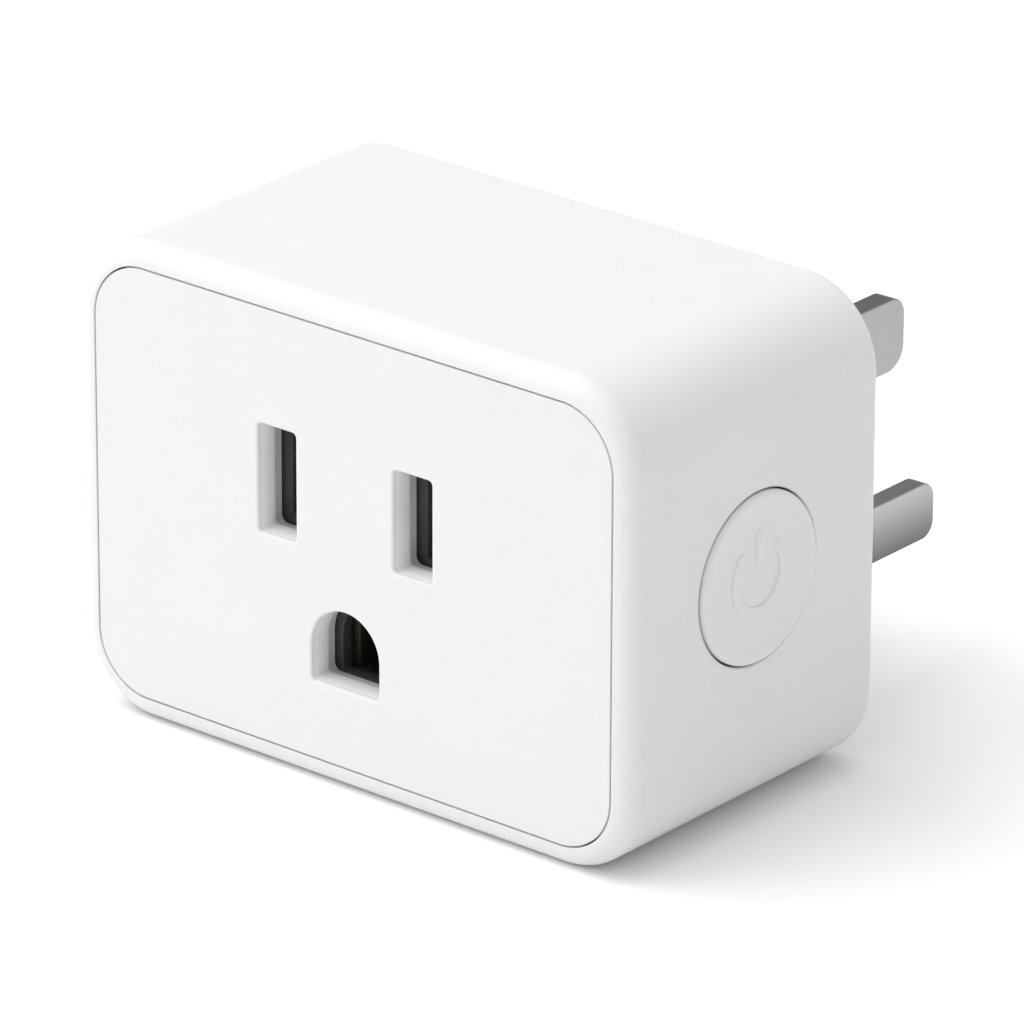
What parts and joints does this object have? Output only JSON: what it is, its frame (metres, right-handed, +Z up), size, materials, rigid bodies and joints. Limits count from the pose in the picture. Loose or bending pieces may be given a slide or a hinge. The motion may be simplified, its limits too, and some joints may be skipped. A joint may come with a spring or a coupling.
{
  "type": "smart plug",
  "caption": "Box-shaped smart plug: grounded outlet in the front, offset prongs behind, round push button in one side and a relay inside.",
  "frame": {"origin": "centre of the rear cover's wall-contact face", "axes": "+Y into the wall, along the prongs; -Y out of the outlet; +X towards the side with the button; +Z up, towards the ground pin"},
  "size_m": [0.0521, 0.05, 0.0372],
  "materials": {
    "white_plastic": "satin",
    "black_plastic": "matte",
    "cream_plastic": "matte",
    "nickel_plate": "bright plated",
    "brass": "satin",
    "steel": "brushed",
    "copper_wire": null,
    "ferrite": null,
    "circuit_board": "satin solder mask",
    "relay_blue": "satin",
    "capacitor_sleeve": "aluminium can in a dark shrink sleeve",
    "varistor_coat": "dipped epoxy",
    "resistor_body": "flameproof coat",
    "led_lens": "clear diffused"
  },
  "bodies": {
    "case": {"housing": "white_plastic", "front_cover": "white_plastic", "rear_cover": "white_plastic", "rear_screw_1": "steel", "rear_screw_2": "steel", "rear_screw_3": "steel", "rear_screw_4": "steel", "board_screw_1": "steel", "board_screw_2": "steel", "board_screw_3": "steel", "tact_switch_base": "black_plastic", "tact_switch_cover": "steel", "tact_switch_dome": "steel", "button_board": "circuit_board", "button_cable": "cream_plastic", "status_led": "led_lens", "neutral_contact": "brass", "line_contact": "brass", "ground_contact": "brass", "contact_holder": "black_plastic", "contact_holder_lid": "black_plastic", "neutral_blade": "nickel_plate", "line_blade": "nickel_plate", "ground_pin": "nickel_plate", "prong_retainer": "black_plastic", "neutral_bus": "brass", "ground_strap": "brass", "power_board": "circuit_board", "wifi_board": "circuit_board", "wifi_shield": "steel", "board_header": "black_plastic", "input_capacitor_1": "capacitor_sleeve", "input_capacitor_2": "capacitor_sleeve", "output_capacitor": "capacitor_sleeve", "choke_core": "ferrite", "choke_winding": "copper_wire", "filter_inductor": "ferrite", "varistor": "varistor_coat", "fuse_resistor": "resistor_body", "bridge_rectifier": "black_plastic", "power_ic": "black_plastic", "relay_cover": "relay_blue", "relay_base": "black_plastic", "relay_bobbin": "cream_plastic", "relay_coil": "copper_wire", "relay_core": "steel", "relay_yoke": "steel", "relay_fixed_contact": "brass", "relay_common_terminal": "brass", "relay_coil_pin_1": "steel", "relay_coil_pin_2": "steel"},
    "button": {"button_cap": "white_plastic"},
    "switch_plunger": {"tact_switch_plunger": "black_plastic"},
    "armature": {"relay_armature": "steel", "relay_contact_spring": "brass"}
  },
  "joints": [
    {"name": "button_press", "type": "slide", "parent": "case", "child": "button", "axis": [-1, 0, 0], "range_m": [0, 0.00035]},
    {"name": "switch_plunger_press", "type": "slide", "parent": "case", "child": "switch_plunger", "axis": [-1, 0, 0], "range_m": [0, 0.00035]},
    {"name": "relay_armature_pivot", "type": "hinge", "parent": "case", "child": "armature", "pos_m": [0.0138, -0.0209, 0.00185], "axis": [1, 0, 0], "range_deg": [0, 3.8]}
  ],
  "couplings": [
    {"joint": "switch_plunger_press", "follows": "button_press", "ratio": 1}
  ]
}
